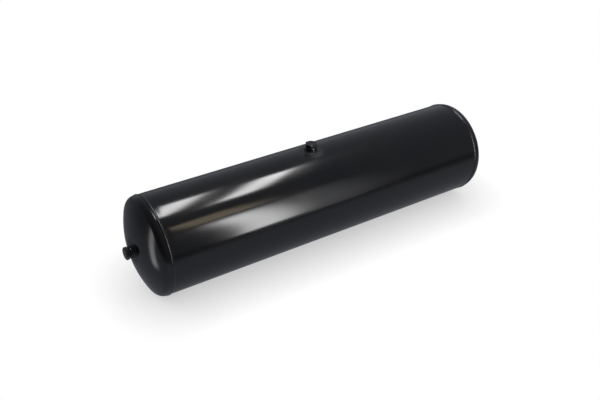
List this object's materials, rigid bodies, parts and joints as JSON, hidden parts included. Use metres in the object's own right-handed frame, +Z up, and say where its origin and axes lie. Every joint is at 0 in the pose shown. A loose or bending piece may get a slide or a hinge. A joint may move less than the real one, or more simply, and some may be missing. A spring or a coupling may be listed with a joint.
{
  "type": "horizontal compressed-air tank",
  "caption": "Horizontal cylindrical steel air tank with dished heads, girth welds and plugged threaded ports on top and at both ends.",
  "frame": {"origin": "on the floor, under the middle of the tank: the centre of the bottom of its box", "axes": "+X along the tank from its left head to its right head, +Y to the back, +Z up through the top port"},
  "size_m": [1.0406, 0.2488, 0.2659],
  "materials": {
    "black_paint": "gloss",
    "painted_weld": "gloss",
    "painted_boss": "gloss",
    "seal": "satin",
    "plug": "satin"
  },
  "bodies": {
    "root": {"shell": "black_paint", "lengthwise_weld": "painted_weld", "left_head": "black_paint", "left_girth_weld": "painted_weld", "right_head": "black_paint", "right_girth_weld": "painted_weld", "top_port_boss": "painted_boss", "top_port_weld": "painted_weld", "top_port_seal": "seal", "top_port_plug": "plug", "left_port_boss": "painted_boss", "left_port_weld": "painted_weld", "left_port_seal": "seal", "left_port_plug": "plug", "right_port_boss": "painted_boss", "right_port_weld": "painted_weld", "right_port_seal": "seal", "right_port_plug": "plug"}
  },
  "joints": []
}
